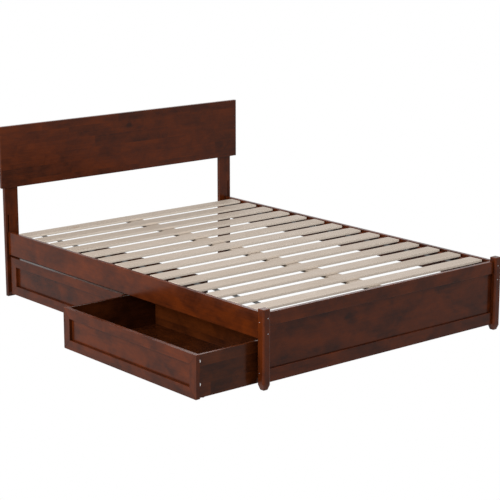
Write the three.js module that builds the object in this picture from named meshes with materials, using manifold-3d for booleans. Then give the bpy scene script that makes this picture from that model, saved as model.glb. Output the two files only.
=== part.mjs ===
// Platform bed for a full-size mattress, with two rolling storage drawers on its left side.
// Millimetres. +Z is up, +Y runs from the foot of the bed to the headboard, the drawers open towards -X.
// Left and right are as seen by someone standing at the foot and looking at the headboard.
import * as THREE from "three";
import { mergeVertices } from "three/addons/utils/BufferGeometryUtils.js";
import Module from "manifold-3d";

const wasm = await Module();
wasm.setup();

// ---- Driving dimensions ------------------------------------------------------------------------
const seam = 0.3; // gap left between pieces that touch
const over = 5; // how far a cutting body runs past the face that it cuts

// Mattress space and frame
const mattressLength = 1905; // from the footboard rail to the headboard panel
const insideWidth = 1360; // between the side rails
const railThickness = 19;
const railTop = 324.5;
const sideRailHeight = 113;
const footRailHeight = 57;
const bottomRailClearance = 27.5; // under the footboard's bottom rail
const railSetback = 15; // rails stand back from the outer faces of the foot posts
const footboardPanelThickness = 6.4;
const footboardPanelRecess = 9.5; // panel face behind the rail faces
const grooveDepth = 7;

// Foot posts
const footPostSize = 40;
const footPostHeight = 343;
const footPostCornerRadius = 9;
const footPostTopChamfer = 4;
const footTaperHeight = 30;
const footTaperInset = 9.5; // each side, at the floor

// Headboard
const headboardHeight = 852;
const headboardPanelHeight = 303;
const headboardPanelThickness = 18;
const headboardOverhang = 27; // panel past the outer face of each post
const headPostWidth = 73;
const headPostThickness = 21;
const headPostOutset = 12; // post's outer face past the side rail's outer face
const headPostDrop = 30; // post top below the panel's top edge
const hookSlotWidth = 6.5;
const hookSlotAboveRail = 86.5; // slot runs on above the rail's top
const hookSlotBelowHook = 6; // slot runs on below the hook plate
const hookSlotDepth = 12;

// Hook plates that hang each side rail in its headboard post
const hookThickness = 3;
const hookHeight = 76;
const hookInRail = 45;
const hookInPost = 9;
const hookTopBelowRailTop = 18;

// Slat deck
const slatCount = 14;
const slatWidth = 76.2;
const slatThickness = 11;
const slatTopBelowRailTop = 2;
const slatEndClearance = 8;
const slatHeadGap = 41; // last slat to the headboard panel
const slatFootGap = 46; // first slat to the footboard rail
const cleatThickness = 19;
const cleatHeight = 38;
const cleatFootGap = 6; // cleat's end to the foot post
const cleatHeadGap = 12; // and to the headboard panel
const centreBoardWidth = 76.2;
const centreBoardOffset = 18; // board's middle to the left of the bed's middle
const centreBoardThickness = 12;
const centreBoardHeadInset = 8; // board end short of the last slat's far edge
const centreBoardFootGap = 2;
const strapWidth = 27;
const strapThickness = 1.6;
const strapFromSlatEnd = 95; // strap's middle to the slat's end
const strapEndInset = 10;

// Drawers
const drawerFrontHeight = 186;
const drawerFloorClearance = 15;
const drawerEndGap = 14; // front to the bed's post at each end
const drawerMiddleGap = 5; // between the two fronts
const drawerFrontThickness = 19;
const drawerFrameWidth = 44; // each member of the front's frame
const drawerFrontEdgeRadius = 4;
const drawerPanelThickness = 6.3;
const drawerPanelLap = 8; // panel lies this far behind the frame's members
const drawerDepth = 498; // front face to the back of the box
const drawerWall = 12.7;
const drawerSideInset = 6; // box side in from the end of the front
const drawerSideDrop = 2; // box's top below the front's top
const drawerSideLift = 4; // box's underside above the front's underside
const drawerBottomTop = 40; // floor of the drawer's inside
const drawerBottomThickness = 6;
const drawerBottomGroove = 5;
const drawerBottomRebate = 2; // the bottom is this much thinner where it enters the sides
const drawerOpening = 318; // how far the front drawer stands open

// Castors under each drawer
const wheelRadius = 13;
const wheelWidth = 14;
const wheelEdge = 2;
const axleRadius = 2.5;
const axleClearance = 0.25;
const axleSegments = 16;
const wheelSegments = 32;
const cornerSegments = 5; // on each rounded corner of a post or a drawer front
const wheelSideClearance = 0.8;
const castorCheek = 2.2;
const castorPlateThickness = 2.2;
const castorPlateLength = 44;
const castorCheekLength = 12;
const castorCheekBelowAxle = 5;
const castorFromFront = 70; // castor's axle behind the drawer's front face
const castorFromBack = 48;
const castorFromSide = 50;

// ---- Derived positions --------------------------------------------------------------------------
const railInner = insideWidth / 2;
const railOuter = railInner + railThickness;
const footPostX = railOuter + railSetback - footPostSize / 2;
const footPostInner = footPostX - footPostSize / 2;
const footPostRear = footPostSize / 2; // foot posts stand at Y = 0
const footRailFront = -footPostSize / 2 + railSetback;
const footRailRear = footRailFront + railThickness;
const panelFront = footRailRear + mattressLength;
const panelRear = panelFront + headboardPanelThickness;
const headPostFront = panelRear + seam;
const headPostRear = headPostFront + headPostThickness;
const headPostOuter = railOuter + headPostOutset;
const panelHalfWidth = headPostOuter + headboardOverhang;
const hookTop = railTop - hookTopBelowRailTop;
const hookBottom = hookTop - hookHeight;
const hookSlotTop = railTop + hookSlotAboveRail;
const slatTop = railTop - slatTopBelowRailTop;
const slatBottom = slatTop - slatThickness;
const slatEnd = railInner - slatEndClearance;
const slatFirst = footRailRear + slatFootGap;
const slatLast = panelFront - slatHeadGap - slatWidth;
const slatPitch = (slatLast - slatFirst) / (slatCount - 1);
const drawerBay = headPostFront - footPostRear;
const drawerWidth = (drawerBay - 2 * drawerEndGap - drawerMiddleGap) / 2;
const boxBottom = drawerFloorClearance + drawerSideLift;
const boxTop = drawerFloorClearance + drawerFrontHeight - drawerSideDrop;
const boxFront = drawerFrontThickness + seam;
const bottomUnderside = drawerBottomTop - drawerBottomThickness;
const tongueTop = drawerBottomTop - drawerBottomRebate;

// ---- Materials ----------------------------------------------------------------------------------
const finish = (colour, roughness, metalness = 0) => ({ color: colour, roughness, metalness });
const walnut = finish(0x5e3226, 0.35);
const drawerWood = finish(0x4d2618, 0.45);
const slatWood = finish(0xbfae9d, 0.7);
const webbing = finish(0x17150f, 0.85);
const steel = finish(0x9a9a9c, 0.35, 1);
const castorPlastic = finish(0x2a2a2c, 0.5);
const wheelRubber = finish(0x3a3a3a, 0.7);

// ---- Geometry helpers ---------------------------------------------------------------------------
function block(low, high) {
  const size = high.map((value, axis) => value - low[axis]);
  const geometry = new THREE.BoxGeometry(size[0], size[1], size[2]);
  geometry.translate(low[0] + size[0] / 2, low[1] + size[1] / 2, low[2] + size[2] / 2);
  return geometry;
}

function toSolid(geometry) {
  const plain = geometry.index ? geometry.toNonIndexed() : geometry.clone();
  plain.deleteAttribute("normal");
  plain.deleteAttribute("uv");
  const merged = mergeVertices(plain, 1e-4);
  return new wasm.Manifold(
    new wasm.Mesh({
      numProp: 3,
      vertProperties: new Float32Array(merged.attributes.position.array),
      triVerts: new Uint32Array(merged.index.array),
    }),
  );
}

function toGeometry(solid) {
  const mesh = solid.getMesh();
  const geometry = new THREE.BufferGeometry();
  geometry.setAttribute("position", new THREE.BufferAttribute(mesh.vertProperties.slice(), 3));
  geometry.setIndex(new THREE.BufferAttribute(mesh.triVerts.slice(), 1));
  geometry.computeVertexNormals();
  return geometry;
}

function cut(geometry, ...tools) {
  return toGeometry(tools.reduce((solid, tool) => solid.subtract(toSolid(tool)), toSolid(geometry)));
}

function join(...geometries) {
  const [first, ...rest] = geometries.map(toSolid);
  return toGeometry(rest.reduce((solid, other) => solid.add(other), first));
}

function overlap(...geometries) {
  const [first, ...rest] = geometries.map(toSolid);
  return toGeometry(rest.reduce((solid, other) => solid.intersect(other), first));
}

function extrude(outline, depth) {
  return new THREE.ExtrudeGeometry(outline, { depth, bevelEnabled: false, curveSegments: cornerSegments });
}

function roundedRectangle(width, height, radius) {
  const shape = new THREE.Shape();
  const right = width / 2;
  const top = height / 2;
  shape.moveTo(-right + radius, -top);
  shape.lineTo(right - radius, -top);
  shape.absarc(right - radius, -top + radius, radius, -Math.PI / 2, 0);
  shape.lineTo(right, top - radius);
  shape.absarc(right - radius, top - radius, radius, 0, Math.PI / 2);
  shape.lineTo(-right + radius, top);
  shape.absarc(-right + radius, top - radius, radius, Math.PI / 2, Math.PI);
  shape.lineTo(-right, -top + radius);
  shape.absarc(-right + radius, -top + radius, radius, Math.PI, Math.PI * 1.5);
  return shape;
}

// An outline drawn as (across, up) and extruded through the post, front to back.
function sideProfile(points, depth) {
  const geometry = extrude(new THREE.Shape(points.map(([x, z]) => new THREE.Vector2(x, z))), depth);
  geometry.rotateX(Math.PI / 2);
  geometry.translate(0, depth / 2, 0);
  return geometry;
}

const bed = new THREE.Group();

function add(group, name, geometry, look) {
  const mesh = new THREE.Mesh(geometry, new THREE.MeshStandardMaterial(look));
  mesh.name = name;
  group.add(mesh);
  return mesh;
}

const sides = [
  { label: "left", sign: -1 },
  { label: "right", sign: 1 },
];

// A block given from its inner to its outer X on the right of the bed, mirrored for the left.
function sidedBlock(sign, innerX, outerX, yRange, zRange) {
  const [lowX, highX] = sign > 0 ? [innerX, outerX] : [-outerX, -innerX];
  return block([lowX, yRange[0], zRange[0]], [highX, yRange[1], zRange[1]]);
}

// ---- Headboard ----------------------------------------------------------------------------------
const panelBottom = headboardHeight - headboardPanelHeight;

function buildHeadboard() {
  add(
    bed,
    "headboard_panel",
    block([-panelHalfWidth, panelFront, panelBottom], [panelHalfWidth, panelRear, headboardHeight]),
    walnut,
  );
  for (const { label, sign } of sides) {
    const post = sidedBlock(
      sign,
      headPostOuter - headPostWidth,
      headPostOuter,
      [headPostFront, headPostRear],
      [0, headboardHeight - headPostDrop],
    );
    const slotX = railOuter - hookSlotWidth;
    const slot = sidedBlock(
      sign,
      slotX,
      slotX + hookSlotWidth,
      [headPostFront - over, headPostFront + hookSlotDepth],
      [hookBottom - hookSlotBelowHook, hookSlotTop],
    );
    add(bed, `headboard_post_${label}`, cut(post, slot), walnut);
  }
}

// ---- Side rails, their cleats and hook plates -----------------------------------------------------
function buildSideRails() {
  const railEnds = [footPostRear + seam, headPostFront - seam];
  const hookX = railOuter - hookSlotWidth / 2 - hookThickness / 2;
  const hookZ = [hookBottom, hookTop];
  for (const { label, sign } of sides) {
    const rail = sidedBlock(sign, railInner, railOuter, railEnds, [railTop - sideRailHeight, railTop]);
    const kerf = sidedBlock(
      sign,
      hookX - seam,
      hookX + hookThickness + seam,
      [railEnds[1] - hookInRail - seam, railEnds[1] + over],
      [hookZ[0] - seam, hookZ[1] + seam],
    );
    add(bed, `side_rail_${label}`, cut(rail, kerf), walnut);
    const hook = sidedBlock(
      sign,
      hookX,
      hookX + hookThickness,
      [railEnds[1] - hookInRail, headPostFront + hookInPost],
      hookZ,
    );
    add(bed, `rail_hook_plate_${label}`, hook, steel);
    const cleat = sidedBlock(
      sign,
      railInner - seam - cleatThickness,
      railInner - seam,
      [footPostRear + cleatFootGap, panelFront - cleatHeadGap],
      [slatBottom - seam - cleatHeight, slatBottom - seam],
    );
    add(bed, `slat_cleat_${label}`, cleat, walnut);
  }
}

// ---- Footboard ------------------------------------------------------------------------------------
const footPanelFront = footRailFront + footboardPanelRecess;
const footPanelRear = footPanelFront + footboardPanelThickness;
const topRailBottom = railTop - footRailHeight;
const bottomRailTop = bottomRailClearance + footRailHeight;
const panelTongue = grooveDepth - seam;

function footPost(sign) {
  const half = footPostSize / 2;
  const foot = half - footTaperInset;
  const crown = half - footPostTopChamfer;
  const profile = [
    [-foot, 0],
    [foot, 0],
    [half, footTaperHeight],
    [half, footPostHeight - footPostTopChamfer],
    [crown, footPostHeight],
    [-crown, footPostHeight],
    [-half, footPostHeight - footPostTopChamfer],
    [-half, footTaperHeight],
  ];
  const shaft = extrude(roundedRectangle(footPostSize, footPostSize, footPostCornerRadius), footPostHeight);
  const front = sideProfile(profile, footPostSize + 2 * over);
  const side = front.clone().rotateZ(Math.PI / 2);
  const groove = sidedBlock(
    -sign,
    half - grooveDepth,
    half + over,
    [footPanelFront - seam, footPanelRear + seam],
    [bottomRailTop - grooveDepth, topRailBottom + grooveDepth],
  );
  const post = cut(overlap(shaft, front, side), groove);
  post.translate(sign * footPostX, 0, 0);
  return post;
}

function buildFootboard() {
  for (const { label, sign } of sides) {
    add(bed, `foot_post_${label}`, footPost(sign), walnut);
  }
  const railX = footPostInner - seam;
  const groove = (zRange) =>
    block([-railX - over, footPanelFront - seam, zRange[0]], [railX + over, footPanelRear + seam, zRange[1]]);
  const topRail = block([-railX, footRailFront, topRailBottom], [railX, footRailRear, railTop]);
  const bottomRail = block([-railX, footRailFront, bottomRailClearance], [railX, footRailRear, bottomRailTop]);
  const topGroove = groove([topRailBottom - over, topRailBottom + grooveDepth]);
  const bottomGroove = groove([bottomRailTop - grooveDepth, bottomRailTop + over]);
  add(bed, "footboard_top_rail", cut(topRail, topGroove), walnut);
  add(bed, "footboard_bottom_rail", cut(bottomRail, bottomGroove), walnut);
  const panelX = footPostInner + panelTongue;
  const panel = block(
    [-panelX, footPanelFront, bottomRailTop - panelTongue],
    [panelX, footPanelRear, topRailBottom + panelTongue],
  );
  add(bed, "footboard_panel", panel, walnut);
}

// ---- Slat deck ------------------------------------------------------------------------------------
function buildSlatDeck() {
  for (let index = 0; index < slatCount; index += 1) {
    const y = slatLast - index * slatPitch;
    const slat = block([-slatEnd, y, slatBottom], [slatEnd, y + slatWidth, slatTop]);
    add(bed, `slat_${String(index + 1).padStart(2, "0")}`, slat, slatWood);
  }
  const boardTop = slatBottom - seam;
  const boardLeft = -centreBoardOffset - centreBoardWidth / 2;
  const board = block(
    [boardLeft, footRailRear + centreBoardFootGap, boardTop - centreBoardThickness],
    [boardLeft + centreBoardWidth, slatLast + slatWidth - centreBoardHeadInset, boardTop],
  );
  add(bed, "slat_centre_board", board, slatWood);
  const strapX = slatEnd - strapFromSlatEnd;
  for (const { label, sign } of sides) {
    const strap = sidedBlock(
      sign,
      strapX - strapWidth / 2,
      strapX + strapWidth / 2,
      [slatFirst + strapEndInset, slatLast + slatWidth - strapEndInset],
      [slatBottom - seam - strapThickness, slatBottom - seam],
    );
    add(bed, `slat_strap_${label}`, strap, webbing);
  }
}

// ---- Drawers --------------------------------------------------------------------------------------
// A drawer is drawn with its front face at X = 0 and its box towards +X, its foot-side end at Y = 0.
const plateTop = bottomUnderside - seam;
const cheekInner = wheelWidth / 2 + wheelSideClearance;
const cheekOuter = cheekInner + castorCheek;

function drawerFrame() {
  const outline = roundedRectangle(drawerWidth, drawerFrontHeight, drawerFrontEdgeRadius);
  const frame = extrude(outline, drawerFrontThickness);
  frame.rotateX(Math.PI / 2);
  frame.rotateZ(Math.PI / 2);
  frame.translate(0, drawerWidth / 2, drawerFloorClearance + drawerFrontHeight / 2);
  const inside = (lap) => ({
    low: [drawerFrameWidth - lap, drawerFloorClearance + drawerFrameWidth - lap],
    high: [
      drawerWidth - drawerFrameWidth + lap,
      drawerFloorClearance + drawerFrontHeight - drawerFrameWidth + lap,
    ],
  });
  const opening = inside(0);
  const rebate = inside(drawerPanelLap + seam);
  const rebateFront = drawerFrontThickness - drawerPanelThickness - seam;
  return cut(
    frame,
    block([-over, ...opening.low], [drawerFrontThickness + over, ...opening.high]),
    block([rebateFront, ...rebate.low], [drawerFrontThickness + over, ...rebate.high]),
  );
}

function drawerPanel() {
  const reach = drawerFrameWidth - drawerPanelLap;
  return block(
    [drawerFrontThickness - drawerPanelThickness, reach, drawerFloorClearance + reach],
    [drawerFrontThickness, drawerWidth - reach, drawerFloorClearance + drawerFrontHeight - reach],
  );
}

function drawerSide(lowY, grooveLow) {
  return cut(
    block([boxFront, lowY, boxBottom], [drawerDepth, lowY + drawerWall, boxTop]),
    block(
      [boxFront - over, grooveLow, bottomUnderside - seam],
      [drawerDepth - drawerWall, grooveLow + drawerBottomGroove + over, tongueTop + seam],
    ),
  );
}

// The bottom's edges are thinned to tongues that enter the sides, so its top face ends inside them.
function drawerBottom(insideY) {
  const rear = drawerDepth - drawerWall - seam;
  const tongue = drawerBottomGroove - seam;
  return join(
    block([boxFront, insideY[0] + seam, bottomUnderside], [rear, insideY[1] - seam, drawerBottomTop]),
    block([boxFront, insideY[0] - tongue, bottomUnderside], [rear, insideY[1] + tongue, tongueTop]),
  );
}

function castorFork() {
  const half = castorPlateLength / 2;
  const plateBottom = plateTop - castorPlateThickness;
  const cheekHalf = castorCheekLength / 2;
  const cheekBottom = wheelRadius - castorCheekBelowAxle;
  const plate = block([-half, -cheekOuter, plateBottom], [half, cheekOuter, plateTop]);
  const cheek = (low, high) =>
    block([-cheekHalf, low, cheekBottom], [cheekHalf, high, plateBottom + castorPlateThickness / 2]);
  const axleLength = 2 * cheekOuter - castorCheek;
  const axle = new THREE.CylinderGeometry(axleRadius, axleRadius, axleLength, axleSegments);
  axle.translate(0, 0, wheelRadius);
  return join(plate, cheek(-cheekOuter, -cheekInner), cheek(cheekInner, cheekOuter), axle);
}

function castorWheel() {
  const half = wheelWidth / 2;
  const bore = axleRadius + axleClearance;
  const profile = [
    [bore, -half],
    [wheelRadius - wheelEdge, -half],
    [wheelRadius, -half + wheelEdge],
    [wheelRadius, half - wheelEdge],
    [wheelRadius - wheelEdge, half],
    [bore, half],
    [bore, -half],
  ].map(([radius, along]) => new THREE.Vector2(radius, along));
  return new THREE.LatheGeometry(profile, wheelSegments);
}

function buildDrawer(name, faceX, footEndY) {
  const drawer = new THREE.Group();
  drawer.position.set(faceX, footEndY, 0);
  bed.add(drawer);
  const footSideY = drawerSideInset;
  const headSideY = drawerWidth - drawerSideInset - drawerWall;
  add(drawer, `${name}_front_frame`, drawerFrame(), walnut);
  add(drawer, `${name}_front_panel`, drawerPanel(), walnut);
  const footGroove = footSideY + drawerWall - drawerBottomGroove;
  const headGroove = headSideY - over;
  add(drawer, `${name}_foot_side`, drawerSide(footSideY, footGroove), drawerWood);
  add(drawer, `${name}_head_side`, drawerSide(headSideY, headGroove), drawerWood);
  const insideY = [footSideY + drawerWall, headSideY];
  const back = block(
    [drawerDepth - drawerWall, insideY[0] + seam, bottomUnderside],
    [drawerDepth, insideY[1] - seam, boxTop],
  );
  add(drawer, `${name}_back`, back, drawerWood);
  add(drawer, `${name}_bottom`, drawerBottom(insideY), drawerWood);
  const castorX = [castorFromFront, drawerDepth - castorFromBack];
  const castorY = [castorFromSide, drawerWidth - castorFromSide];
  castorX.forEach((x, row) => {
    castorY.forEach((y, column) => {
      const corner = `${row === 0 ? "front" : "rear"}_${column === 0 ? "foot" : "head"}`;
      add(drawer, `${name}_castor_${corner}`, castorFork(), castorPlastic).position.set(x, y, 0);
      add(drawer, `${name}_wheel_${corner}`, castorWheel(), wheelRubber).position.set(x, y, wheelRadius);
    });
  });
}

// ---- Assembly -------------------------------------------------------------------------------------
buildHeadboard();
buildSideRails();
buildFootboard();
buildSlatDeck();
buildDrawer("front_drawer", -railOuter - drawerOpening, footPostRear + drawerEndGap);
buildDrawer("back_drawer", -railOuter, headPostFront - drawerEndGap - drawerWidth);

// The origin is on the floor, at the middle of the box round the bed as it stands, front drawer open.
const lowX = -railOuter - drawerOpening;
bed.position.set(-(lowX + panelHalfWidth) / 2, -(headPostRear - footPostSize / 2) / 2, 0);

export default bed;
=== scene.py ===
"""Platform bed with two storage drawers: looks, laid out as an add-on and run as a script."""

import math
import random

import bpy
from mathutils import Matrix, Vector


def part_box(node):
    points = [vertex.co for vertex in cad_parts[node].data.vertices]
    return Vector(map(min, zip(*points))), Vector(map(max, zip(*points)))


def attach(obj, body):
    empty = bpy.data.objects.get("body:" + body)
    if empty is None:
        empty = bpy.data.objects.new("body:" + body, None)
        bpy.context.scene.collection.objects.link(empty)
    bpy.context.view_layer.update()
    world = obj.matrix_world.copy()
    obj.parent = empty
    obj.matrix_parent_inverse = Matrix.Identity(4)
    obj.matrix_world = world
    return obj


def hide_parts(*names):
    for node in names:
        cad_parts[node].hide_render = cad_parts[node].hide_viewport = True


bl_info = {
    "name": "Platform bed with drawers",
    "version": (1, 0, 0),
    "blender": (4, 5, 0),
    "location": "3D View > Sidebar > Bed",
    "description": "Builds the boards, drawers and hardware of a slatted platform bed",
    "category": "Object",
}

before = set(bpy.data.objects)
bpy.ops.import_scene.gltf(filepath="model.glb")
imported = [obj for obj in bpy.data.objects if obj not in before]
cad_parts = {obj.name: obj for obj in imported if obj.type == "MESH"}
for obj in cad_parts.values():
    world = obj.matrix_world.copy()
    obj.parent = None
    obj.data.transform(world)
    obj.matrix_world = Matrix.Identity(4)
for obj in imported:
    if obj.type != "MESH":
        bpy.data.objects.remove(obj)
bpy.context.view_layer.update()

MM = 0.001
SEED = 20
NEAR = 0.05 * MM  # two planes closer than this are one plane
HAIR = 0.01 * MM  # a point this close to level or upright counts as such
MERGE = 0.02 * MM  # corners of neighbouring triangles closer than this are joined
LIFT = 0.02 * MM  # keeps a fastener's underside out of the plane of its board
DRAWERS = ("front_drawer", "back_drawer")
SIDES = ("left", "right")
CORNERS = ("front_foot", "front_head", "rear_foot", "rear_head")
SLATS = [f"slat_{number:02d}" for number in range(1, 15)]
UP = Vector((0, 0, 1))


# ---- What a user would change ---------------------------------------------------------------
def length(name, text, value):
    return bpy.props.FloatProperty(
        name=name, description=text, default=value, min=0, unit="LENGTH", subtype="DISTANCE"
    )


def share(name, text, value, high=1.0):
    return bpy.props.FloatProperty(name=name, description=text, default=value, min=0, max=high)


def colour(name, text, value):
    return bpy.props.FloatVectorProperty(
        name=name, description=text, default=value, min=0, max=1, size=3, subtype="COLOR"
    )


class BedSizes(bpy.types.PropertyGroup):
    board_edge: length("Board edge", "Round on the long edges of rails and posts", 1.6 * MM)
    panel_edge: length("Panel edge", "Round on the edges of the headboard panel", 1.8 * MM)
    slat_edge: length("Slat edge", "Round on a slat's long edges", 1.4 * MM)
    slat_corner: length("Slat corner", "Round on a slat's four corners, from above", 4 * MM)
    front_edge: length("Drawer front edge", "Round on the outer edges of a drawer front", 2.4 * MM)
    frame_edge: length("Inner frame edge", "Round on the edges round a front's panel", 0.9 * MM)
    mitre_gap: length("Mitre gap", "Hairline between the members of a drawer front", 0.3 * MM)
    box_edge: length("Drawer box edge", "Round on the edges of sides and back", 1.2 * MM)
    hardware_edge: length("Hardware edge", "Round on castors and plates", 0.35 * MM)
    webbing_sag: length("Webbing sag", "Drop of a strap between two slats", 1.6 * MM)
    bolt_radius: length("Bolt head", "Radius of the bolt heads in the foot posts", 1.6 * MM)
    cap_radius: length("Cap", "Radius of the caps behind a drawer front", 7.5 * MM)
    screw_radius: length("Screw head", "Radius of the wood screws", 3.2 * MM)


class BedFinishes(bpy.types.PropertyGroup):
    walnut_light: colour(
        "Walnut, light", "Light parts of the stained wood", (0.078, 0.0143, 0.0022)
    )
    walnut_dark: colour("Walnut, dark", "Dark figure of the stained wood", (0.022, 0.0052, 0.0022))
    walnut_gloss: share("Walnut gloss", "Strength of the clear coat's reflection", 0.12)
    walnut_roughness: share("Walnut roughness", "Roughness of the clear coat", 0.2)
    box_light: colour("Drawer box, light", "Light parts of the drawer wood", (0.07, 0.0155, 0.003))
    box_dark: colour("Drawer box, dark", "Dark figure of the drawer wood", (0.02, 0.0048, 0.0016))
    knot: colour("Knot", "Heart of a knot in the stained wood", (0.012, 0.004, 0.0022))
    slat_light: colour("Slat, light", "Light parts of the slat wood", (0.298, 0.248, 0.205))
    slat_dark: colour("Slat, dark", "Dark grain of the slat wood", (0.24, 0.192, 0.15))
    # Painted light: slat sides are coloured much paler than the tops, so that they look lit from
    # the foot end
    slat_side: colour("Slat side", "Freshly planed sides of a slat", (0.6, 0.52, 0.44))
    # Painted shade: the centre board's sides are coloured dark, so that they look shaded under the
    # slats
    board_side: colour(
        "Centre board side", "Sides of the board under the slats", (0.19, 0.15, 0.11)
    )
    slat_knot: colour("Slat knot", "Heart of a knot in a slat", (0.2, 0.12, 0.07))
    webbing: colour("Webbing", "Yarn of the slat straps", (0.01, 0.0112, 0.009))
    steel: colour("Steel", "Zinc-plated bolts, screws and hook plates", (0.62, 0.61, 0.59))
    castor: colour("Castor", "Moulded plastic of the forks", (0.018, 0.018, 0.02))
    wheel: colour("Wheel", "Rubber of the wheels", (0.035, 0.034, 0.033))
    floor: colour("Floor", "Studio floor", (0.25, 0.25, 0.25))


class BedStudio(bpy.types.PropertyGroup):
    camera_bearing: bpy.props.FloatProperty(
        name="Camera bearing", description="Way the camera looks, from +Y towards +X",
        default=math.radians(39.899), subtype="ANGLE", unit="ROTATION",
    )
    camera_tilt: bpy.props.FloatProperty(
        name="Camera tilt", description="How far the camera looks down",
        default=math.radians(13.332), subtype="ANGLE", unit="ROTATION",
    )
    camera_distance: length("Camera distance", "From the camera to the point it looks at", 7.5926)
    camera_lens: bpy.props.FloatProperty(
        name="Lens", description="Focal length in millimetres", default=116.83, unit="CAMERA"
    )
    aim_across: bpy.props.FloatProperty(
        name="Aim across", description="Point looked at, in X from the middle of the bed",
        default=0.0927, unit="LENGTH",
    )
    aim_along: bpy.props.FloatProperty(
        name="Aim along", description="Point looked at, in Y from the middle of the bed",
        default=-0.1069, unit="LENGTH",
    )
    aim_height: length("Aim height", "Height of the point looked at", 0.3308)
    room_light: share("Room light", "Strength of the even white surroundings", 0.86, 4)
    floor_glow: share("Floor glow", "Whiteness of the sheet seen as the floor", 1.0, 4)
    key_light: share("Key light", "Watts of the large lamp on the drawer side", 305, 5000)
    front_light: share("Front light", "Watts of the large lamp at the foot end", 60, 5000)
    top_light: share("Top light", "Watts of the large lamp overhead", 50, 5000)
    back_light: share("Back light", "Watts of the large lamp behind the headboard", 90, 5000)


# ---- Working on a piece ----------------------------------------------------------------------
def only(piece):
    bpy.ops.object.select_all(action="DESELECT")
    piece.select_set(True)
    bpy.context.view_layer.objects.active = piece


def editing(piece, kind="EDGE"):
    only(piece)
    bpy.ops.object.mode_set(mode="EDIT")
    bpy.ops.mesh.select_mode(type=kind)
    bpy.ops.mesh.select_all(action="DESELECT")
    bpy.ops.object.mode_set(mode="OBJECT")


def corners(piece):
    points = [vertex.co for vertex in piece.data.vertices]
    low = Vector([min(point[axis] for point in points) for axis in range(3)])
    high = Vector([max(point[axis] for point in points) for axis in range(3)])
    return low, high


def closed_copy(node, name):
    """A copy of a CAD node as one closed mesh, still in triangles."""
    piece = bpy.data.objects.new(name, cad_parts[node].data.copy())
    piece.data.materials.clear()
    bpy.context.scene.collection.objects.link(piece)
    only(piece)
    bpy.ops.mesh.customdata_custom_splitnormals_clear()
    bpy.ops.object.mode_set(mode="EDIT")
    bpy.ops.mesh.select_all(action="SELECT")
    bpy.ops.mesh.remove_doubles(threshold=MERGE)
    bpy.ops.object.mode_set(mode="OBJECT")
    return piece


def whole_faces(piece):
    """Joins the triangles that lie in one plane."""
    only(piece)
    bpy.ops.object.mode_set(mode="EDIT")
    bpy.ops.mesh.select_all(action="SELECT")
    bpy.ops.mesh.dissolve_limited(angle_limit=math.radians(0.5))
    bpy.ops.object.mode_set(mode="OBJECT")


def board_from(node, name):
    piece = closed_copy(node, name)
    whole_faces(piece)
    return piece


def round_edges(piece, width, steps, chosen):
    """Rounds the edges that chosen(one end, other end) picks."""
    editing(piece)
    mesh = piece.data
    picked = 0
    for edge in mesh.edges:
        ends = [mesh.vertices[index].co for index in edge.vertices]
        if chosen(*ends):
            edge.select = True
            picked += 1
    if not picked:
        raise RuntimeError(f"{piece.name}: no edge to round")
    bpy.ops.object.mode_set(mode="EDIT")
    bpy.ops.mesh.bevel(offset=width, segments=steps, affect="EDGES", clamp_overlap=True)
    bpy.ops.object.mode_set(mode="OBJECT")


def outer_edge(piece, wanted=None):
    """A test for edges of the piece's own box, of which wanted(middle) keeps some."""
    low, high = corners(piece)

    def chosen(start, end):
        planes = [
            abs(start[axis] - side[axis]) < NEAR and abs(end[axis] - side[axis]) < NEAR
            for axis in range(3)
            for side in (low, high)
        ]
        return sum(planes) >= 2 and (wanted is None or wanted((start + end) / 2))

    return chosen


def round_sharp(piece, width, steps, angle=40):
    only(piece)
    bpy.ops.object.modifier_add(type="BEVEL")
    bevel = piece.modifiers[-1]
    bevel.width = width
    bevel.segments = steps
    bevel.limit_method = "ANGLE"
    bevel.angle_limit = math.radians(angle)
    bpy.ops.object.modifier_apply(modifier=bevel.name)


def smooth(piece, angle=35):
    only(piece)
    bpy.ops.object.shade_smooth_by_angle(angle=math.radians(angle))
    bpy.ops.object.modifier_add(type="WEIGHTED_NORMAL")
    weighted = piece.modifiers[-1]
    weighted.keep_sharp = True
    bpy.ops.object.modifier_apply(modifier=weighted.name)


def mark_board(piece):
    """Gives the mesh a number of its own, for its grain, and marks its rounded edges for wear."""
    mesh = piece.data
    number = random.Random(SEED + sum(ord(letter) for letter in piece.name)).random()
    board = mesh.attributes.new("board", "FLOAT", "FACE")
    board.data.foreach_set("value", [number] * len(mesh.polygons))
    eased = mesh.attributes.new("eased", "FLOAT", "FACE")
    flat = 0.999
    worn = [float(max(abs(part) for part in face.normal) < flat) for face in mesh.polygons]
    eased.data.foreach_set("value", worn)


def mark_sides_for_painted_light(piece):
    """Marks the upright faces of a flat board, for painted light on the slats' sides and painted
    shade on the centre board's sides.
    """
    mesh = piece.data
    side = mesh.attributes.new("side", "FLOAT", "FACE")
    steep = 0.6
    side.data.foreach_set("value", [float(abs(face.normal.z) < steep) for face in mesh.polygons])


def finished(piece, body, slot, material, *nodes):
    smooth(piece)
    mark_board(piece)
    piece.data.materials.append(material)
    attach(piece, body)
    if nodes:
        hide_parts(*nodes)


def placed_copy(piece, name, matrix):
    copy = bpy.data.objects.new(name, piece.data.copy())
    copy.data.transform(matrix)
    bpy.context.scene.collection.objects.link(copy)
    return copy


def joined(pieces, name):
    bpy.ops.object.select_all(action="DESELECT")
    for piece in pieces:
        piece.select_set(True)
    bpy.context.view_layer.objects.active = pieces[0]
    bpy.ops.object.join()
    pieces[0].name = name
    return pieces[0]


# ---- Materials -------------------------------------------------------------------------------
# A Mix node has sockets of one name for numbers, vectors and colours: these are the colours'
MIX_COLOURS = (6, 7)
MIX_RESULT = 2


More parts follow.
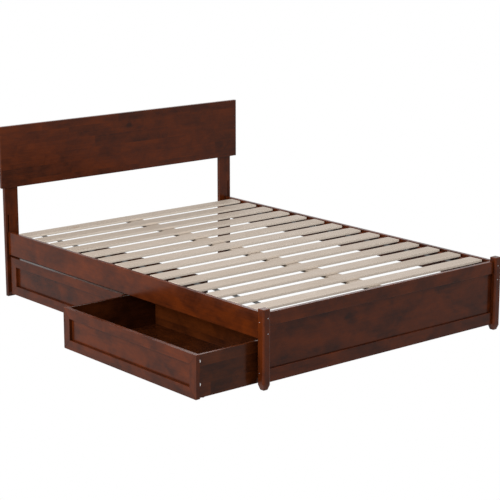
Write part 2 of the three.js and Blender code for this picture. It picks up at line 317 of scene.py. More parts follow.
class Finish:
    """Short ways of adding nodes to a new material."""

    def __init__(self, name):
        self.material = bpy.data.materials.new(name)
        self.material.use_nodes = True
        self.tree = self.material.node_tree
        self.tree.nodes.clear()
        self.out = self.tree.nodes.new("ShaderNodeOutputMaterial")
        self.shader = self.tree.nodes.new("ShaderNodeBsdfPrincipled")
        self.tree.links.new(self.shader.outputs[0], self.out.inputs["Surface"])

    def put(self, socket, value):
        if isinstance(value, bpy.types.NodeSocket):
            self.tree.links.new(value, socket)
        else:
            socket.default_value = value

    def add(self, kind, inputs=(), **settings):
        node = self.tree.nodes.new(kind)
        for key, value in settings.items():
            setattr(node, key, value)
        for key, value in dict(inputs).items():
            self.put(node.inputs[key], value)
        return node

    def maths(self, operation, first, second=0.0, third=0.0, clamp=False):
        node = self.add("ShaderNodeMath", operation=operation, use_clamp=clamp)
        for socket, value in zip(node.inputs, (first, second, third)):
            self.put(socket, value)
        return node.outputs[0]

    def vector(self, operation, first, second):
        node = self.add("ShaderNodeVectorMath", operation=operation)
        self.put(node.inputs[0], first)
        self.put(node.inputs[1], second)
        return node.outputs[0]

    def ramp(self, value, low, high, to_low=0.0, to_high=1.0):
        inputs = {
            "Value": value, "From Min": low, "From Max": high, "To Min": to_low, "To Max": to_high
        }
        return self.add("ShaderNodeMapRange", inputs, interpolation_type="SMOOTHSTEP").outputs[0]

    def noise(self, vector, scale=1.0, detail=3.0, roughness=0.55, distortion=0.0):
        inputs = {
            "Vector": vector, "Scale": scale, "Detail": detail,
            "Roughness": roughness, "Distortion": distortion,
        }
        return self.add("ShaderNodeTexNoise", inputs).outputs["Fac"]

    def mix(self, factor, first, second):
        node = self.add("ShaderNodeMix", data_type="RGBA")
        self.put(node.inputs["Factor"], factor)
        for index, shade in zip(MIX_COLOURS, (first, second)):
            linked = isinstance(shade, bpy.types.NodeSocket)
            self.put(node.inputs[index], shade if linked else (*shade, 1))
        return node.outputs[MIX_RESULT]

    def attribute(self, name):
        return self.add("ShaderNodeAttribute", attribute_name=name).outputs["Fac"]

    def object_place(self, turn=(0, 0, 0)):
        place = self.add("ShaderNodeTexCoord").outputs["Object"]
        return self.add("ShaderNodeMapping", {"Vector": place, "Rotation": turn}).outputs[0]

    def bump(self, height, distance):
        inputs = {"Height": height, "Distance": distance}
        self.put(self.shader.inputs["Normal"], self.add("ShaderNodeBump", inputs).outputs[0])


GRAIN_TURN = {
    "X": (0, 0, 0),
    "Y": (0, 0, -math.pi / 2),
    "Z": (0, math.pi / 2, 0),
}
BOARD_SHIFT = {"X": 31.7, "Y": 17.3, "Z": 23.9}  # moves the grain by a board's own number
STAVE_SHIFT = {"X": 9.0, "Y": 5.0}  # and again for each stave that a board is glued from
STAVE_STAGGER = 0.617  # how far the joints of one row stand from those of the next

# How fine each layer of figure is: along the grain, then across it both ways
CLOUD_SCALE = (5.5, 9.5, 9.5)
PATCH_SCALE = (17, 27, 27)
STREAK_SCALE = (4.5, 150, 150)
PORE_SCALE = (45, 1100, 1100)
KNOT_SCALE = (4.6, 8.2, 8.2)


def wood(name, along, light, dark, knot, look):
    """Sawn wood whose grain runs along one axis. look holds the strengths of its figure."""
    finish = Finish(name)
    board = finish.attribute("board")
    place = finish.object_place(GRAIN_TURN[along])
    own = finish.add("ShaderNodeCombineXYZ", {
        axis: finish.maths("MULTIPLY", board, far) for axis, far in BOARD_SHIFT.items()
    })
    parts = finish.add("ShaderNodeSeparateXYZ", {"Vector": place})
    tone = 0.5
    shifted = finish.vector("ADD", place, own.outputs[0])
    if look["stave"]:
        row = finish.maths("FLOOR", finish.maths("DIVIDE", parts.outputs["Z"], look["stave"]))
        start = finish.maths("MULTIPLY_ADD", row, STAVE_STAGGER, parts.outputs["X"])
        column = finish.maths("FLOOR", finish.maths("DIVIDE", start, look["stave_length"]))
        cell = finish.add("ShaderNodeCombineXYZ", {"X": row, "Y": column, "Z": board})
        tone = finish.add("ShaderNodeTexWhiteNoise", {"Vector": cell.outputs[0]},
                          noise_dimensions="3D").outputs["Value"]
        jump = finish.add("ShaderNodeCombineXYZ", {
            axis: finish.maths("MULTIPLY", tone, far) for axis, far in STAVE_SHIFT.items()
        })
        shifted = finish.vector("ADD", shifted, jump.outputs[0])

    cloud = finish.noise(finish.vector("MULTIPLY", shifted, CLOUD_SCALE), 1, 4, 0.55, 0.5)
    patch = finish.noise(finish.vector("MULTIPLY", shifted, PATCH_SCALE), 1, 3, 0.6, 0.4)
    streak = finish.noise(finish.vector("MULTIPLY", shifted, STREAK_SCALE), 1, 5, 0.62, 0.25)
    pore = finish.noise(finish.vector("MULTIPLY", shifted, PORE_SCALE), 1, 2, 0.5)

    cells = finish.add(
        "ShaderNodeTexVoronoi",
        {"Vector": finish.vector("MULTIPLY", shifted, KNOT_SCALE), "Scale": 1.0},
    )
    lot = finish.add("ShaderNodeSeparateColor", {"Color": cells.outputs["Color"]}).outputs[0]
    real = finish.maths("GREATER_THAN", look["knots"], lot)
    wobble = finish.maths("MULTIPLY_ADD", patch, 0.12, cells.outputs["Distance"])
    heart = finish.maths("MULTIPLY", finish.ramp(wobble, 0.19, 0.11), real)
    halo = finish.maths("MULTIPLY", finish.ramp(wobble, 0.42, 0.14), real)

    level = 0.5
    for figure, low, high, strength in (
        (cloud, 0.32, 0.68, look["cloud"]),
        (patch, 0.3, 0.7, look["patch"]),
        (streak, 0.3, 0.7, look["streak"]),
    ):
        swing = finish.ramp(figure, low, high, -1, 1)
        level = finish.maths("MULTIPLY_ADD", swing, strength, level)
    if look["stave"]:
        apart = finish.maths("SUBTRACT", tone, 0.5)
        level = finish.maths("MULTIPLY_ADD", apart, look["tone"], level)
    apart = finish.maths("SUBTRACT", board, 0.5)
    level = finish.maths("MULTIPLY_ADD", apart, look["between"], level)
    level = finish.maths("MULTIPLY_ADD", halo, -look["halo"], level)
    level = finish.maths("MAXIMUM", level, 0.0, clamp=True)

    shade = finish.mix(level, dark, light)
    shade = finish.mix(finish.maths("MULTIPLY", heart, look["heart"]), shade, knot)
    specks = finish.ramp(pore, 0.36, 0.24, 0.0, look["pore"])
    shade = finish.mix(specks, shade, knot)
    # Painted light and shade: upright faces take the side colour, paler on the slats and darker on
    # the centre board
    if look.get("side"):
        side = finish.maths("MULTIPLY", finish.attribute("side"), 0.9)
        shade = finish.mix(side, shade, look["side"])
    # Painted shade: an occlusion test darkens corners, recesses and joints towards the knot colour
    if look.get("corner_painted_shade"):
        open_air = finish.add("ShaderNodeAmbientOcclusion", {"Distance": look["corner_shade_reach"]},
                              samples=6).outputs["AO"]
        corner_painted_shade = finish.ramp(open_air, 0.4, 0.85, look["corner_painted_shade"], 0.0)
        shade = finish.mix(corner_painted_shade, shade, knot)
    worn = finish.maths("MULTIPLY", finish.attribute("eased"), finish.ramp(patch, 0.25, 0.7))
    worn = finish.maths("MULTIPLY", worn, look["wear"])
    pale = tuple(min(1, part * look["wear_lift"]) for part in light)
    shade = finish.mix(worn, shade, pale)
    finish.put(finish.shader.inputs["Base Color"], shade)

    rough = finish.maths("MULTIPLY_ADD", finish.ramp(patch, 0.25, 0.75, -1, 1),
                         look["rough_spread"], look["rough"])
    rough = finish.maths("MULTIPLY_ADD", specks, 0.3, rough)
    finish.put(finish.shader.inputs["Roughness"], rough)
    finish.shader.inputs["Specular IOR Level"].default_value = look["gloss"]
    height = finish.maths("MULTIPLY_ADD", pore, 0.35, finish.maths("MULTIPLY", streak, 0.65))
    height = finish.maths("MULTIPLY_ADD", cloud, look["wave"], height)
    finish.bump(height, look["relief"])
    return finish.material


def walnut_look(finishes, **changes):
    look = {
        "stave": 0, "stave_length": 0.46, "tone": 0.36, "between": 0.24,
        "cloud": 0.3, "patch": 0.13, "streak": 0.1,
        "knots": 0.16, "halo": 0.2, "heart": 0.7, "pore": 0.35, "wear": 0.35,
        "wear_lift": 1.5, "rough": finishes.walnut_roughness, "rough_spread": 0.045,
        # Strength of the painted shade in corners and recesses, and how far it reaches
        "corner_painted_shade": 0.9, "corner_shade_reach": 5 * MM,
        "gloss": finishes.walnut_gloss, "wave": 0.5, "relief": 0.00012,
    }
    look.update(changes)
    return look


# side is the colour painted on a board's upright faces, as painted light or painted shade
def slat_look(side):
    return {
        "side": side,
        "stave": 0, "between": 0.5, "cloud": 0.16, "patch": 0.12, "streak": 0.22, "knots": 0.06,
        "halo": 0.3, "heart": 0.75, "pore": 0.16, "wear": 0.4, "wear_lift": 1.12, "rough": 0.62,
        "rough_spread": 0.07, "gloss": 0.2, "wave": 0.2, "relief": 0.00016,
    }


def moulded(name, colour_value, roughness, grain, relief):
    """Plastic or rubber with a fine moulded grain and rubbed edges."""
    finish = Finish(name)
    place = finish.object_place()
    fine = finish.noise(place, grain, 3, 0.6)
    broad = finish.noise(place, grain / 14, 3, 0.6)
    uneven = (finish.attribute("eased"), finish.ramp(broad, 0.3, 0.7, 0.1, 0.6))
    rubbed = finish.maths("MULTIPLY", *uneven)
    paler = tuple(min(1, part * 2.6) for part in colour_value)
    shade = finish.mix(finish.ramp(broad, 0.3, 0.7, 0, 0.3), tuple(colour_value), paler)
    finish.put(finish.shader.inputs["Base Color"], finish.mix(rubbed, shade, paler))
    finish.put(finish.shader.inputs["Roughness"],
               finish.ramp(fine, 0.25, 0.75, roughness - 0.08, roughness + 0.1))
    finish.bump(fine, relief)
    return finish.material


def plated(name, colour_value):
    """Zinc plate: spangled, a little dull, brighter where it is rubbed."""
    finish = Finish(name)
    place = finish.object_place()
    spangle = finish.add("ShaderNodeTexVoronoi", {"Vector": place, "Scale": 260.0})
    grey = finish.add("ShaderNodeSeparateColor", {"Color": spangle.outputs["Color"]}).outputs[0]
    fine = finish.noise(place, 900, 3, 0.6)
    dull = tuple(part * 0.72 for part in colour_value)
    shade = finish.mix(finish.maths("MULTIPLY_ADD", grey, 0.6, 0.2), dull, tuple(colour_value))
    bright = tuple(min(1, part * 1.3) for part in colour_value)
    shade = finish.mix(finish.maths("MULTIPLY", finish.attribute("eased"), 0.6), shade, bright)
    finish.put(finish.shader.inputs["Base Color"], shade)
    finish.shader.inputs["Metallic"].default_value = 1
    finish.put(finish.shader.inputs["Roughness"], finish.ramp(fine, 0.25, 0.75, 0.28, 0.46))
    finish.bump(fine, 0.00003)
    return finish.material


def woven(name, colour_value):
    """Webbing: ribs across the strap, with rows of yarn along it."""
    finish = Finish(name)
    place = finish.object_place()
    ribs = finish.add("ShaderNodeTexWave", {"Vector": place, "Scale": 62.0, "Distortion": 0.6},
                      bands_direction="Y").outputs["Fac"]
    rows = finish.add("ShaderNodeTexWave", {"Vector": place, "Scale": 110.0, "Distortion": 0.4},
                      bands_direction="X").outputs["Fac"]
    fuzz = finish.noise(place, 1500, 3, 0.6)
    weave = finish.maths("MULTIPLY_ADD", rows, 0.35, finish.maths("MULTIPLY", ribs, 0.65))
    paler = tuple(min(1, part * 2.4) for part in colour_value)
    shade = finish.mix(finish.maths("MULTIPLY", weave, 0.8), tuple(colour_value), paler)
    shade = finish.mix(finish.ramp(fuzz, 0.55, 0.8, 0, 0.35), shade, paler)
    finish.put(finish.shader.inputs["Base Color"], shade)
    finish.put(finish.shader.inputs["Roughness"], finish.ramp(fuzz, 0.3, 0.7, 0.78, 0.95))
    finish.shader.inputs["Specular IOR Level"].default_value = 0.3
    finish.bump(weave, 0.0004)
    return finish.material


def material(name):
    """The finish of that name, made the first time that it is asked for."""
    if name in bpy.data.materials:
        return bpy.data.materials[name]
    finishes = bpy.context.scene.bed_finishes
    kind, _, along = name.rpartition("_")
    knot = tuple(finishes.knot)
    walnut = (tuple(finishes.walnut_light), tuple(finishes.walnut_dark), knot)
    box = (tuple(finishes.box_light), tuple(finishes.box_dark), knot)
    slat = (tuple(finishes.slat_light), tuple(finishes.slat_dark), tuple(finishes.slat_knot))
    if kind == "walnut":
        return wood(name, along, *walnut, walnut_look(finishes))
    if kind == "walnut_panel":
        look = walnut_look(finishes, stave=0.058, cloud=0.2, between=0.1)
        return wood(name, along, *walnut, look)
    if kind == "walnut_sheet":
        return wood(name, along, *walnut, walnut_look(finishes, streak=0.07, knots=0.06))
    if kind == "drawer_wood":
        return wood(name, along, *box, walnut_look(finishes, stave=0.075, knots=0.3, heart=0.8,
                                                   stave_length=0.8, tone=0.35, cloud=0.28))
    # Painted shade: the drawer wood dimmed to six tenths, for the shade inside a drawer
    if kind == "drawer_sheet":
        dim = [tuple(0.6 * part for part in shade) for shade in box[:2]]
        return wood(name, along, *dim, knot, walnut_look(finishes, knots=0.2))
    if kind == "slat_wood":
        return wood(name, along, *slat, slat_look(tuple(finishes.slat_side)))
    if kind == "centre_wood":
        return wood(name, along, *slat, slat_look(tuple(finishes.board_side)))
    if name == "webbing":
        return woven(name, finishes.webbing)
    if name == "steel":
        return plated(name, finishes.steel)
    if name == "castor_plastic":
        return moulded(name, finishes.castor, roughness=0.42, grain=2600, relief=0.00002)
    if name == "wheel_rubber":
        return moulded(name, finishes.wheel, roughness=0.6, grain=1800, relief=0.00005)
    raise RuntimeError(f"no finish is named {name}")


# ---- Headboard -------------------------------------------------------------------------------
class BED_OT_headboard(bpy.types.Operator):
    """Headboard: a wide panel of glued staves on two flat posts"""

    bl_idname = "bed.headboard"
    bl_label = "Headboard"

    def execute(self, context):
        sizes = context.scene.bed_sizes
        panel = board_from("headboard_panel", "headboard_board")
        round_edges(panel, sizes.panel_edge, 3, outer_edge(panel))
        finished(panel, "bed_frame", "walnut_stain", material("walnut_panel_X"), "headboard_panel")
        for side in SIDES:
            node = f"headboard_post_{side}"
            post = board_from(node, f"headboard_upright_{side}")
            round_edges(post, sizes.board_edge, 3, outer_edge(post))
            finished(post, "bed_frame", "walnut_stain", material("walnut_Z"), node)
        return {"FINISHED"}


# ---- Side rails ------------------------------------------------------------------------------
class BED_OT_side_rails(bpy.types.Operator):
    """Side rails with the cleats that carry the slats, and the plates that hook into the posts"""

    bl_idname = "bed.side_rails"
    bl_label = "Side rails"

    def execute(self, context):
        sizes = context.scene.bed_sizes
        for side in SIDES:
            rail = board_from(f"side_rail_{side}", f"long_rail_{side}")
            head_end = corners(rail)[1].y - 60 * MM
            round_edges(
                rail, sizes.board_edge, 3, outer_edge(rail, lambda middle: middle.y < head_end)
            )
            finished(rail, "bed_frame", "walnut_stain", material("walnut_Y"), f"side_rail_{side}")
            cleat = board_from(f"slat_cleat_{side}", f"cleat_{side}")
            round_edges(cleat, sizes.board_edge, 2, outer_edge(cleat))
            finished(cleat, "bed_frame", "walnut_stain", material("walnut_Y"), f"slat_cleat_{side}")
            plate = board_from(f"rail_hook_plate_{side}", f"hook_plate_{side}")
            round_sharp(plate, sizes.hardware_edge, 2)
            finished(plate, "bed_frame", "steel", material("steel"), f"rail_hook_plate_{side}")
        return {"FINISHED"}


# ---- Footboard -------------------------------------------------------------------------------
class BED_OT_footboard(bpy.types.Operator):
    """Footboard: two square posts with rounded corners, two rails and a panel let in between"""

    bl_idname = "bed.footboard"
    bl_label = "Footboard"

    def execute(self, context):
        sizes = context.scene.bed_sizes
        for side in SIDES:
            post = board_from(f"foot_post_{side}", f"foot_corner_{side}")
            round_sharp(post, 0.6 * sizes.board_edge, 2, 25)
            finished(post, "bed_frame", "walnut_stain", material("walnut_Z"), f"foot_post_{side}")
        for name in ("top", "bottom"):
            rail = board_from(f"footboard_{name}_rail", f"foot_{name}_board")
            round_edges(rail, sizes.board_edge, 3, outer_edge(rail))
            finished(
                rail, "bed_frame", "walnut_stain", material("walnut_X"), f"footboard_{name}_rail"
            )
        panel = board_from("footboard_panel", "foot_panel")
        round_edges(panel, 0.3 * sizes.board_edge, 1, outer_edge(panel))
        finished(panel, "bed_frame", "walnut_stain", material("walnut_sheet_X"), "footboard_panel")
        return {"FINISHED"}


# ---- Slats -----------------------------------------------------------------------------------
class BED_OT_slats(bpy.types.Operator):
    """Fourteen slats across the bed, and the board under the middle of them"""

    bl_idname = "bed.slats"
    bl_label = "Slats"

    def execute(self, context):
        sizes = context.scene.bed_sizes

        def shaped(board):
            low, high = corners(board)
            thick = high.z - low.z

            def upright(start, end):
                return abs(abs(start.z - end.z) - thick) < NEAR

            round_edges(board, sizes.slat_corner, 4, upright)
            round_sharp(board, sizes.slat_edge, 2, 50)

        first = board_from(SLATS[0], "deck_slat_01")
        shaped(first)
        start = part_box(SLATS[0])[0]
        copies = [first]
        for node in SLATS[1:]:
            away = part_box(node)[0] - start
            name = node.replace("slat", "deck_slat")
            copies.append(placed_copy(first, name, Matrix.Translation(away)))
        for node, slat in zip(SLATS, copies):
            mark_sides_for_painted_light(slat)
            finished(slat, "bed_frame", "slat_wood", material("slat_wood_X"), node)
        board = board_from("slat_centre_board", "centre_board")
        shaped(board)
        mark_sides_for_painted_light(board)
        finished(board, "bed_frame", "slat_wood", material("centre_wood_Y"), "slat_centre_board")
        return {"FINISHED"}


# ---- Webbing ---------------------------------------------------------------------------------
class BED_OT_webbing(bpy.types.Operator):
    """Two woven straps that hold the slats at their spacing, hanging a little between them"""

    bl_idname = "bed.webbing"
    bl_label = "Webbing"

    cuts = (0, 0.2, 0.5, 0.8, 1)  # shares of a gap at which the strap is cut
    drops = ((1.0, (0.5,)), (0.7, (0.2, 0.8)))  # share of the sag, and the cuts that take it

    def execute(self, context):
        sizes = context.scene.bed_sizes
        slats = sorted((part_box(node)[0].y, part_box(node)[1].y) for node in SLATS)
        gaps = [(near[1], far[0]) for near, far in zip(slats, slats[1:])]
        for side in SIDES:
            node = f"slat_strap_{side}"
            low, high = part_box(node)
            bpy.ops.object.select_all(action="DESELECT")
            bpy.ops.mesh.primitive_cube_add(size=1, location=(low + high) / 2, scale=high - low)
            strap = bpy.context.active_object
            strap.name = f"webbing_{side}"
            bpy.ops.object.transform_apply(location=True, rotation=True, scale=True)
            bpy.ops.object.mode_set(mode="EDIT")
            for start, end in gaps:
                for part in self.cuts:
                    bpy.ops.mesh.select_all(action="SELECT")
                    bpy.ops.mesh.bisect(
                        plane_co=(0, start + part * (end - start), 0), plane_no=(0, 1, 0)
                    )
            bpy.ops.object.mode_set(mode="OBJECT")
            for share_down, parts in self.drops:
                editing(strap, "VERT")
                for vertex in strap.data.vertices:
                    vertex.select = any(
                        abs(vertex.co.y - start - part * (end - start)) < 0.1 * MM
                        for start, end in gaps
                        for part in parts
                    )
                bpy.ops.object.mode_set(mode="EDIT")
                bpy.ops.transform.translate(value=(0, 0, -share_down * sizes.webbing_sag))
                bpy.ops.object.mode_set(mode="OBJECT")
            round_sharp(strap, 0.4 * MM, 2, 50)
            finished(strap, "bed_frame", "webbing", material("webbing"), node)
        return {"FINISHED"}


# ---- Drawer fronts ---------------------------------------------------------------------------
class BED_OT_drawer_fronts(bpy.types.Operator):
    """Drawer fronts: four mitred members round a panel that is let in from behind"""

    bl_idname = "bed.drawer_fronts"
    bl_label = "Drawer fronts"

    def execute(self, context):
        sizes = context.scene.bed_sizes
        for drawer in DRAWERS:
            node = f"{drawer}_front_frame"
            ring = closed_copy(node, f"{drawer}_ring")
            low, high = corners(ring)
            half_member = (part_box(f"{drawer}_front_panel")[0].z - low.z) / 2

            def inset(start, end):
                """How far a front edge stands in from the outline, or None for other edges."""
                if max(start.x, end.x) > low.x + NEAR:
                    return None
                point = (start + end) / 2
                return min(point.y - low.y, high.y - point.y, point.z - low.z, high.z - point.z)

            def outline(start, end):
                depth = inset(start, end)
                along = max(abs(start.y - end.y), abs(start.z - end.z)) > 4 * sizes.mitre_gap
                return depth is not None and depth < half_member / 4 and along

            def reveal(start, end):
                depth = inset(start, end)
                square = min(abs(start.y - end.y), abs(start.z - end.z)) < HAIR
                return depth is not None and depth > half_member and square

            # Each cut passes through (y, z) and keeps the side that (across, up) points to
            middle = (low.z + high.z) / 2
            cuts = {
                "top": ((low.y, high.z, 1, 1), (high.y, high.z, -1, 1), (low.y, middle, 0, 1)),
                "bottom": ((low.y, low.z, 1, -1), (high.y, low.z, -1, -1), (low.y, middle, 0, -1)),
                "foot": ((low.y, high.z, -1, -1), (low.y, low.z, -1, 1)),
                "head": ((high.y, high.z, 1, -1), (high.y, low.z, 1, 1)),
            }
            for place, planes in cuts.items():
                member = placed_copy(ring, f"{drawer}_{place}_member", Matrix.Identity(4))
                only(member)
                bpy.ops.object.mode_set(mode="EDIT")
                for y, z, across, up in planes:
                    normal = Vector((0, across, up)).normalized()
                    bpy.ops.mesh.select_all(action="SELECT")
                    bpy.ops.mesh.bisect(
                        plane_co=Vector((low.x, y, z)) + normal * sizes.mitre_gap,
                        plane_no=normal, use_fill=True, clear_inner=True,
                    )
                bpy.ops.object.mode_set(mode="OBJECT")
                whole_faces(member)
                round_edges(member, sizes.front_edge, 4, outline)
                round_edges(member, sizes.frame_edge, 2, reveal)
                along = "Y" if place in ("top", "bottom") else "Z"
                finished(member, drawer, "walnut_stain", material(f"walnut_{along}"), node)
            bpy.data.objects.remove(ring)
            panel = board_from(f"{drawer}_front_panel", f"{drawer}_panel")
            round_edges(panel, 0.5 * sizes.frame_edge, 1, outer_edge(panel))
            finished(
                panel, drawer, "walnut_stain", material("walnut_sheet_Y"), f"{drawer}_front_panel"
            )
        return {"FINISHED"}


# ---- Drawer boxes ----------------------------------------------------------------------------
class BED_OT_drawer_boxes(bpy.types.Operator):
    """Drawer boxes: two sides, a back and a bottom let into grooves"""

    bl_idname = "bed.drawer_boxes"
    bl_label = "Drawer boxes"

    # Head sides and bottoms take the painted-shade copy of the drawer wood
    parts = {
        "foot_side": "drawer_wood_X", "head_side": "drawer_sheet_X",
        "back": "drawer_wood_Y", "bottom": "drawer_sheet_Y",
    }

    def execute(self, context):
        sizes = context.scene.bed_sizes
        for drawer in DRAWERS:
            for part, finish in self.parts.items():
                board = board_from(f"{drawer}_{part}", f"{drawer}_box_{part}")
                if part != "bottom":
                    middle_height = sum(corner.z for corner in corners(board)) / 2
                    round_edges(
                        board, sizes.box_edge, 2,
                        outer_edge(board, lambda middle: middle.z > middle_height),
                    )
                finished(board, drawer, "drawer_wood", material(finish), f"{drawer}_{part}")
        return {"FINISHED"}


# ---- Castors ---------------------------------------------------------------------------------
class BED_OT_castors(bpy.types.Operator):
    """Castors under the drawers: plastic forks and rubber wheels"""

    bl_idname = "bed.castors"
    bl_label = "Castors"

    def execute(self, context):
        sizes = context.scene.bed_sizes
        for drawer in DRAWERS:
            for corner in CORNERS:
                node = f"{drawer}_castor_{corner}"
                fork = board_from(node, f"{drawer}_fork_{corner}")
                round_sharp(fork, sizes.hardware_edge, 2)
                finished(fork, drawer, "castor_plastic", material("castor_plastic"), node)
                node = f"{drawer}_wheel_{corner}"
                wheel = board_from(node, f"{drawer}_roller_{corner}")
                round_sharp(wheel, sizes.hardware_edge, 2)
                finished(wheel, node, "wheel_rubber", material("wheel_rubber"), node)
        return {"FINISHED"}


# ---- Fasteners -------------------------------------------------------------------------------
def fastener(radius, height):
    """A round head with a recess for its key, standing on the floor and looking up."""
    bpy.ops.object.select_all(action="DESELECT")
    bpy.ops.mesh.primitive_cylinder_add(
        vertices=24, radius=radius, depth=height, location=(0, 0, height / 2)
    )
    head = bpy.context.active_object
    bpy.ops.object.transform_apply(location=True, rotation=True, scale=True)
    round_edges(
        head, 0.35 * height, 2, lambda start, end: min(start.z, end.z) > height - HAIR
    )
    editing(head, "FACE")
    for face in head.data.polygons:
        face.select = face.normal.z > 0.99
    bpy.ops.object.mode_set(mode="EDIT")
    bpy.ops.mesh.inset(thickness=0.45 * radius)
    bpy.ops.mesh.extrude_region_move(TRANSFORM_OT_translate={"value": (0, 0, -0.6 * height)})
    bpy.ops.object.mode_set(mode="OBJECT")
    return head


def fasteners(name, body, radius, height, places):
    """One piece of like heads, each at (point, direction it faces)."""
    head = fastener(radius, height)
    copies = []
    for number, (point, facing) in enumerate(places):
        turn = UP.rotation_difference(Vector(facing)).to_matrix().to_4x4()
        start = Vector(point) + Vector(facing) * LIFT
        copies.append(placed_copy(head, f"{name}_{number}", Matrix.Translation(start) @ turn))
    bpy.data.objects.remove(head)
    finished(joined(copies, name), body, "steel", material("steel"))


class BED_OT_fasteners(bpy.types.Operator):
    """Bolt heads in the posts, caps on the drawers, and screws in cleats, castors and boxes"""

    bl_idname = "bed.fasteners"
    bl_label = "Fasteners"

    post_bolts = {"top": -8 * MM, "bottom": 16 * MM}  # from the middle of each footboard rail, up
    rail_bolts = (37 * MM, -28 * MM)  # from the middle of a side rail, up
    headboard_bolts = (60 * MM, 210 * MM)  # from the panel's lower edge, up
    cleat_screw_count = 9
    cleat_screw_inset = 70 * MM  # from a cleat's end to its first screw
    box_screws = (30 * MM, 75 * MM, 120 * MM)  # from the top of a drawer's back, down
    box_screw_inset = 6.4 * MM  # from the back's outer face to its screws
    castor_screw_reach = 15 * MM  # from the middle of a castor's plate
    castor_plate = 2.2 * MM  # thickness of that plate
    upper_cap = 29 * MM  # from a front's top edge, down
    lower_cap = 60 * MM  # from its bottom edge, up
    cap_gap = 0.3 * MM  # between a cap and the back of the front

    def execute(self, context):
        sizes = context.scene.bed_sizes
        self.frame_bolts(sizes)
        self.cleat_screws(sizes)
        for drawer in DRAWERS:
            self.drawer_hardware(sizes, drawer)
        return {"FINISHED"}

    def frame_bolts(self, sizes):
        places = []
        top_low, top_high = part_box("footboard_top_rail")
        bottom_low, bottom_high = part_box("footboard_bottom_rail")
        for side, way in zip(SIDES, (-1, 1)):
            post_low, post_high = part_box(f"foot_post_{side}")
            rail_low, rail_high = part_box(f"side_rail_{side}")
            face = post_low.x if way < 0 else post_high.x
            rail_mid = (rail_low + rail_high) / 2
            across = (top_low.y + top_high.y) / 2
            top_z = (top_low.z + top_high.z) / 2 + self.post_bolts["top"]
            bottom_z = (bottom_low.z + bottom_high.z) / 2 + self.post_bolts["bottom"]
            for z in (top_z, bottom_z):
                places.append(((face, across, z), (way, 0, 0)))
            for above in self.rail_bolts:
                places.append(((rail_mid.x, post_low.y, rail_mid.z + above), (0, -1, 0)))
        fasteners("foot_post_bolts", "bed_frame", sizes.bolt_radius, 0.6 * MM, places)

        places = []
        panel_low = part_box("headboard_panel")[0]
        for side in SIDES:
            low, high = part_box(f"headboard_post_{side}")
            middle = (low + high) / 2
            for above in self.headboard_bolts:
                places.append(((middle.x, high.y, panel_low.z + above), (0, 1, 0)))
        fasteners("headboard_bolts", "bed_frame", 2.6 * sizes.bolt_radius, 1.4 * MM, places)

    def cleat_screws(self, sizes):
        places = []
        count, inset = self.cleat_screw_count, self.cleat_screw_inset
        for side, way in zip(SIDES, (-1, 1)):
            low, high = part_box(f"slat_cleat_{side}")
            face = high.x if way < 0 else low.x
            step = (high.y - low.y - 2 * inset) / (count - 1)
            for number in range(count):
                y = low.y + inset + number * step
                places.append(((face, y, (low.z + high.z) / 2), (-way, 0, 0)))
        fasteners("cleat_screws", "bed_frame", sizes.screw_radius, 1.2 * MM, places)

    def drawer_hardware(self, sizes, drawer):
        low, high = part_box(f"{drawer}_front_frame")
        side_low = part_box(f"{drawer}_foot_side")[0]
        head_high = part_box(f"{drawer}_head_side")[1]
        back_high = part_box(f"{drawer}_back")[1]
        self.caps(sizes, drawer, high, low, (side_low.y, head_high.y))
        screws = []
        x = back_high.x - self.box_screw_inset
        for down in self.box_screws:
            screws.append(((x, side_low.y, back_high.z - down), (0, -1, 0)))
            screws.append(((x, head_high.y, back_high.z - down), (0, 1, 0)))
        for corner in CORNERS:
            plate_low, plate_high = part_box(f"{drawer}_castor_{corner}")
            middle = (plate_low + plate_high) / 2
            for way in (-1, 1):
                x = middle.x + way * self.castor_screw_reach
                screws.append(((x, middle.y, plate_high.z - self.castor_plate), (0, 0, -1)))
        fasteners(f"{drawer}_screws", drawer, sizes.screw_radius, 1.0 * MM, screws)

    def caps(self, sizes, drawer, high, low, faces):
        """Half-round caps on the box sides, straight edge against the back of the front."""
        halves = []
        start = high.x + self.cap_gap
        for z in (high.z - self.upper_cap, low.z + self.lower_cap):
            for y, way in zip(faces, (-1, 1)):
                cap = fastener(sizes.cap_radius, 1.6 * MM)
                turn = UP.rotation_difference(Vector((0, way, 0))).to_matrix().to_4x4()
                place = Matrix.Translation((start, y + way * LIFT, z))
                half = placed_copy(cap, f"half_{len(halves)}", place @ turn)
                bpy.data.objects.remove(cap)
                only(half)
                bpy.ops.object.mode_set(mode="EDIT")
                bpy.ops.mesh.select_all(action="SELECT")
                bpy.ops.mesh.bisect(
                    plane_co=(start, 0, 0), plane_no=(1, 0, 0), use_fill=True, clear_inner=True
                )
                bpy.ops.object.mode_set(mode="OBJECT")
                halves.append(half)
        finished(joined(halves, f"{drawer}_caps"), drawer, "steel", material("steel"))


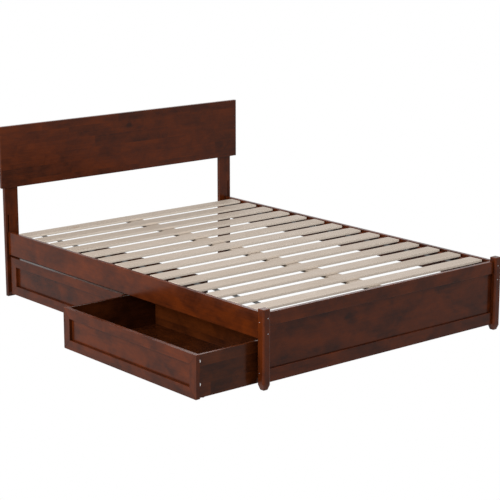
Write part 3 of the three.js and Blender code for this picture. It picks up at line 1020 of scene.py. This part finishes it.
# ---- Studio ----------------------------------------------------------------------------------
class BED_OT_studio(bpy.types.Operator):
    """White studio floor, even light from all round, and the camera"""

    bl_idname = "bed.studio"
    bl_label = "Studio"

    # Name, place, width and setting of each lamp; all of them point at the middle of the bed
    lamps = (
        ("key_lamp", (-4.4, -0.7, 2.5), 3.2, "key_light"),
        ("front_lamp", (1.2, -4.6, 2.4), 3.2, "front_light"),
        ("top_lamp", (0, 0.3, 4.2), 3.6, "top_light"),
        ("back_lamp", (3.4, 3.0, 3.6), 3.2, "back_light"),
    )
    lamp_aim = Vector((0, 0, 0.35))
    floor_size = 160
    view_distance = 200

    def execute(self, context):
        studio = context.scene.bed_studio
        self.floors(studio, context.scene.bed_finishes)
        world = bpy.data.worlds.new("studio_surroundings")
        world.use_nodes = True
        background = world.node_tree.nodes["Background"]
        background.inputs["Color"].default_value = (1, 1, 1, 1)
        background.inputs["Strength"].default_value = studio.room_light
        context.scene.world = world
        context.scene.view_settings.view_transform = "Standard"
        for name, place, size, setting in self.lamps:
            self.lamp(name, place, size, getattr(studio, setting))
        self.camera(context)
        return {"FINISHED"}

    def floor(self, name, pale, glow):
        bpy.ops.object.select_all(action="DESELECT")
        bpy.ops.mesh.primitive_plane_add(size=self.floor_size, location=(0, 0, 0))
        floor = bpy.context.active_object
        floor.name = name
        finish = Finish(name)
        finish.shader.inputs["Base Color"].default_value = (*pale, 1)
        finish.shader.inputs["Roughness"].default_value = 0.9
        finish.shader.inputs["Specular IOR Level"].default_value = 0
        finish.shader.inputs["Emission Color"].default_value = (1, 1, 1, 1)
        finish.shader.inputs["Emission Strength"].default_value = glow
        floor.data.materials.append(finish.material)
        return floor

    def floors(self, studio, finishes):
        """A grey floor that the light falls on, and a white sheet seen and reflected instead."""
        pale = self.floor("studio_floor", finishes.floor, 0)
        pale.visible_camera = False
        pale.visible_glossy = False
        sheet = self.floor("white_sheet", (0, 0, 0), studio.floor_glow)
        sheet.visible_diffuse = False
        sheet.visible_transmission = False
        sheet.visible_shadow = False

    def lamp(self, name, place, size, watts):
        data = bpy.data.lights.new(name, "AREA")
        data.shape = "DISK"
        data.size = size
        data.energy = watts
        lamp = bpy.data.objects.new(name, data)
        lamp.location = place
        aim = self.lamp_aim - lamp.location
        lamp.rotation_euler = aim.to_track_quat("-Z", "Y").to_euler()
        bpy.context.scene.collection.objects.link(lamp)

    def camera(self, context):
        studio = context.scene.bed_studio
        bearing = studio.camera_bearing
        tilt = studio.camera_tilt
        ahead = Vector((
            math.sin(bearing) * math.cos(tilt),
            math.cos(bearing) * math.cos(tilt),
            -math.sin(tilt),
        ))
        aim = Vector((studio.aim_across, studio.aim_along, studio.aim_height))
        data = bpy.data.cameras.new("studio_camera")
        data.lens = studio.camera_lens
        data.clip_end = self.view_distance
        camera = bpy.data.objects.new("studio_camera", data)
        camera.location = aim - ahead * studio.camera_distance
        camera.rotation_euler = ahead.to_track_quat("-Z", "Y").to_euler()
        context.scene.collection.objects.link(camera)
        context.scene.camera = camera


# ---- Add-on ----------------------------------------------------------------------------------
STEPS = (
    BED_OT_headboard,
    BED_OT_side_rails,
    BED_OT_footboard,
    BED_OT_slats,
    BED_OT_webbing,
    BED_OT_drawer_fronts,
    BED_OT_drawer_boxes,
    BED_OT_castors,
    BED_OT_fasteners,
    BED_OT_studio,
)


class BED_PT_sidebar(bpy.types.Panel):
    """The steps that build the bed, and its sizes, finishes and studio"""

    bl_idname = "BED_PT_sidebar"
    bl_label = "Platform bed"
    bl_space_type = "VIEW_3D"
    bl_region_type = "UI"
    bl_category = "Bed"

    def draw(self, context):
        for step in STEPS:
            self.layout.operator(step.bl_idname)
        for name in GROUPS:
            group = getattr(context.scene, name)
            box = self.layout.box()
            for key in group.__annotations__:
                box.prop(group, key)


GROUPS = {"bed_sizes": BedSizes, "bed_finishes": BedFinishes, "bed_studio": BedStudio}


def register():
    for group in GROUPS.values():
        bpy.utils.register_class(group)
    for step in (*STEPS, BED_PT_sidebar):
        bpy.utils.register_class(step)
    for key, group in GROUPS.items():
        setattr(bpy.types.Scene, key, bpy.props.PointerProperty(type=group))


def unregister():
    for key in GROUPS:
        delattr(bpy.types.Scene, key)
    for step in (BED_PT_sidebar, *reversed(STEPS)):
        bpy.utils.unregister_class(step)
    for group in GROUPS.values():
        bpy.utils.unregister_class(group)


def main():
    register()
    bpy.ops.bed.headboard()
    bpy.ops.bed.side_rails()
    bpy.ops.bed.footboard()
    bpy.ops.bed.slats()
    bpy.ops.bed.webbing()
    bpy.ops.bed.drawer_fronts()
    bpy.ops.bed.drawer_boxes()
    bpy.ops.bed.castors()
    bpy.ops.bed.fasteners()
    bpy.ops.bed.studio()


if __name__ == "__main__":
    main()
